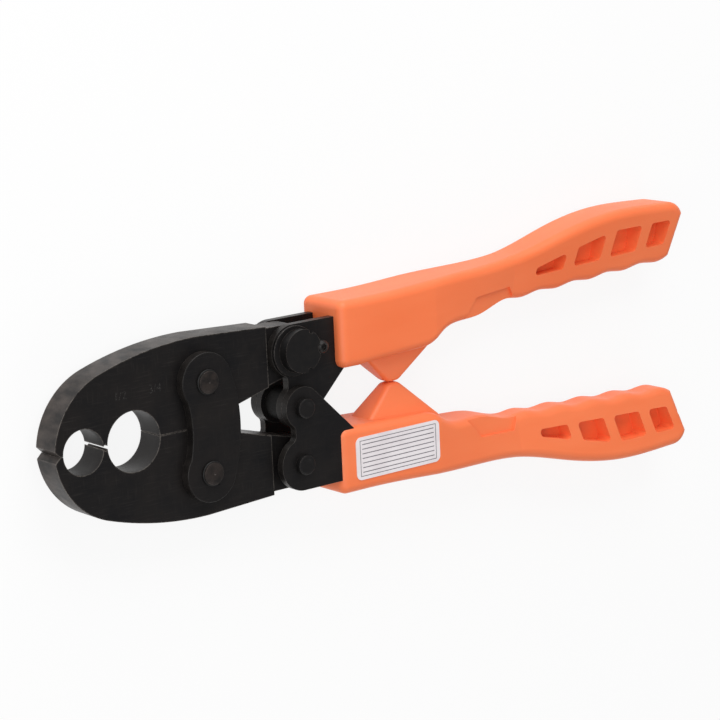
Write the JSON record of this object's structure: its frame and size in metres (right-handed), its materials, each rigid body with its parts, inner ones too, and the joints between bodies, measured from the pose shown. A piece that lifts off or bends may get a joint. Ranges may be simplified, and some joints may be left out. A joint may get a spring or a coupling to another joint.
{
  "type": "pex crimp ring tool",
  "caption": "Two-size hand tool that crimps copper rings on plastic pipe: linked jaws with a large and a small round die, lever plates with an adjusting cam, and two ribbed grips.",
  "frame": {"origin": "centre of the large die, at half the thickness of the jaws", "axes": "+X from the nose to the handle ends, +Y towards the upper handle, +Z along the axis of both dies, upwards when the tool lies on its side"},
  "size_m": [0.3364, 0.1144, 0.0278],
  "materials": {
    "black_oxide_steel": "black oxide, worn at the edges",
    "dark_pin_steel": "black oxide, oiled",
    "spring_steel": "phosphate black",
    "orange_grip": "satin moulded",
    "write_on_label": "matte"
  },
  "bodies": {
    "front_link": {"near_link_plate": "black_oxide_steel", "far_link_plate": "black_oxide_steel", "upper_link_pin": "dark_pin_steel", "lower_link_pin": "dark_pin_steel", "upper_near_ring": "spring_steel", "lower_near_ring": "spring_steel", "upper_far_ring": "spring_steel", "lower_far_ring": "spring_steel"},
    "upper_jaw": {"upper_jaw": "black_oxide_steel"},
    "lower_jaw": {"lower_jaw": "black_oxide_steel"},
    "upper_handle": {"near_upper_lever_plate": "black_oxide_steel", "far_upper_lever_plate": "black_oxide_steel", "adjusting_cam": "dark_pin_steel", "cam_lock_screw": "dark_pin_steel", "cam_ring": "spring_steel", "upper_grip": "orange_grip"},
    "lower_handle": {"near_lower_lever_plate": "black_oxide_steel", "far_lower_lever_plate": "black_oxide_steel", "lower_jaw_pin": "dark_pin_steel", "near_jaw_pin_spacer": "dark_pin_steel", "far_jaw_pin_spacer": "dark_pin_steel", "centre_pivot_pin": "dark_pin_steel", "centre_spacer": "dark_pin_steel", "centre_pin_ring": "spring_steel", "jaw_pin_ring": "spring_steel", "lower_grip": "orange_grip", "write_on_plate": "write_on_label"}
  },
  "joints": [
    {"name": "upper_jaw_pivot", "type": "hinge", "parent": "front_link", "child": "upper_jaw", "pos_m": [0.0328, 0.0184, 0], "axis": [0, 0, 1], "range_deg": [-11, 0]},
    {"name": "lower_jaw_pivot", "type": "hinge", "parent": "front_link", "child": "lower_jaw", "pos_m": [0.0328, -0.0184, 0], "axis": [0, 0, 1], "range_deg": [0, 11]},
    {"name": "lower_handle_pivot", "type": "hinge", "parent": "lower_jaw", "child": "lower_handle", "pos_m": [0.077, -0.0232, 0], "axis": [0, 0, 1], "range_deg": [-63, 0]},
    {"name": "centre_pivot", "type": "hinge", "parent": "lower_handle", "child": "upper_handle", "pos_m": [0.0782, 0, 0], "axis": [0, 0, 1], "range_deg": [0, 104]}
  ],
  "couplings": [
    {"joint": "upper_jaw_pivot", "follows": "centre_pivot", "ratio": -0.1047},
    {"joint": "lower_jaw_pivot", "follows": "centre_pivot", "ratio": 0.1047},
    {"joint": "lower_handle_pivot", "follows": "centre_pivot", "ratio": -0.6047}
  ]
}
